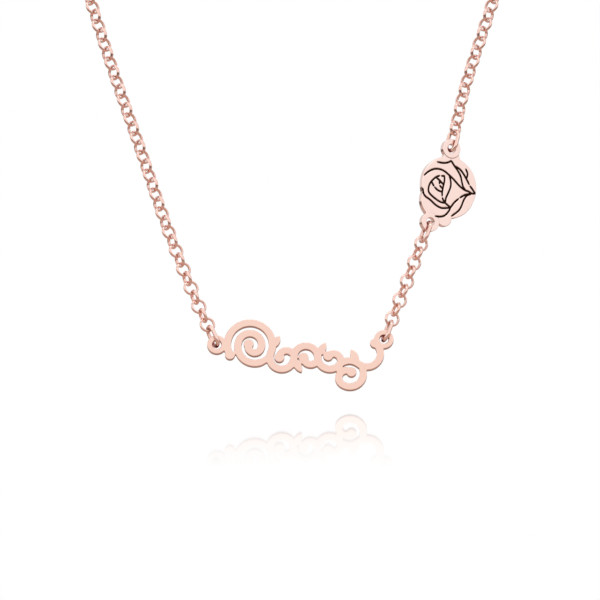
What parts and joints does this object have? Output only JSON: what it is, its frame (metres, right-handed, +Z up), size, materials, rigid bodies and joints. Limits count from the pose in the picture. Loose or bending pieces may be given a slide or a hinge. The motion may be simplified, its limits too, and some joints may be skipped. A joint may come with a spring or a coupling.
{
  "type": "plate necklace",
  "caption": "Necklace with a pierced scrollwork name-style plate and an engraved rose charm linked into a fine rolo chain, fastened by a spring ring at the nape.",
  "frame": {"origin": "at the nape, the middle of the spring ring clasp, where the necklace hangs on the back of a neck", "axes": "+Z up, -Y the way the front of the necklace faces, +X to the right as seen from the front"},
  "size_m": [0.1042, 0.1029, 0.1399],
  "materials": {
    "rose_gold_sheet": "polished rose gold plate",
    "rose_gold_wire": "polished rose gold plate",
    "rose_gold_chain": "polished rose gold plate"
  },
  "bodies": {
    "root": {"nameplate": "rose_gold_sheet", "rose_charm": "rose_gold_sheet", "jump_ring_left": "rose_gold_wire", "jump_ring_right": "rose_gold_wire", "charm_ring_lower": "rose_gold_wire", "charm_ring_upper": "rose_gold_wire", "chain_left": "rose_gold_chain", "chain_lower_right": "rose_gold_chain", "chain_upper_right": "rose_gold_chain", "clasp": "rose_gold_wire", "clasp_ring_left": "rose_gold_wire", "end_ring_right": "rose_gold_wire"}
  },
  "joints": []
}
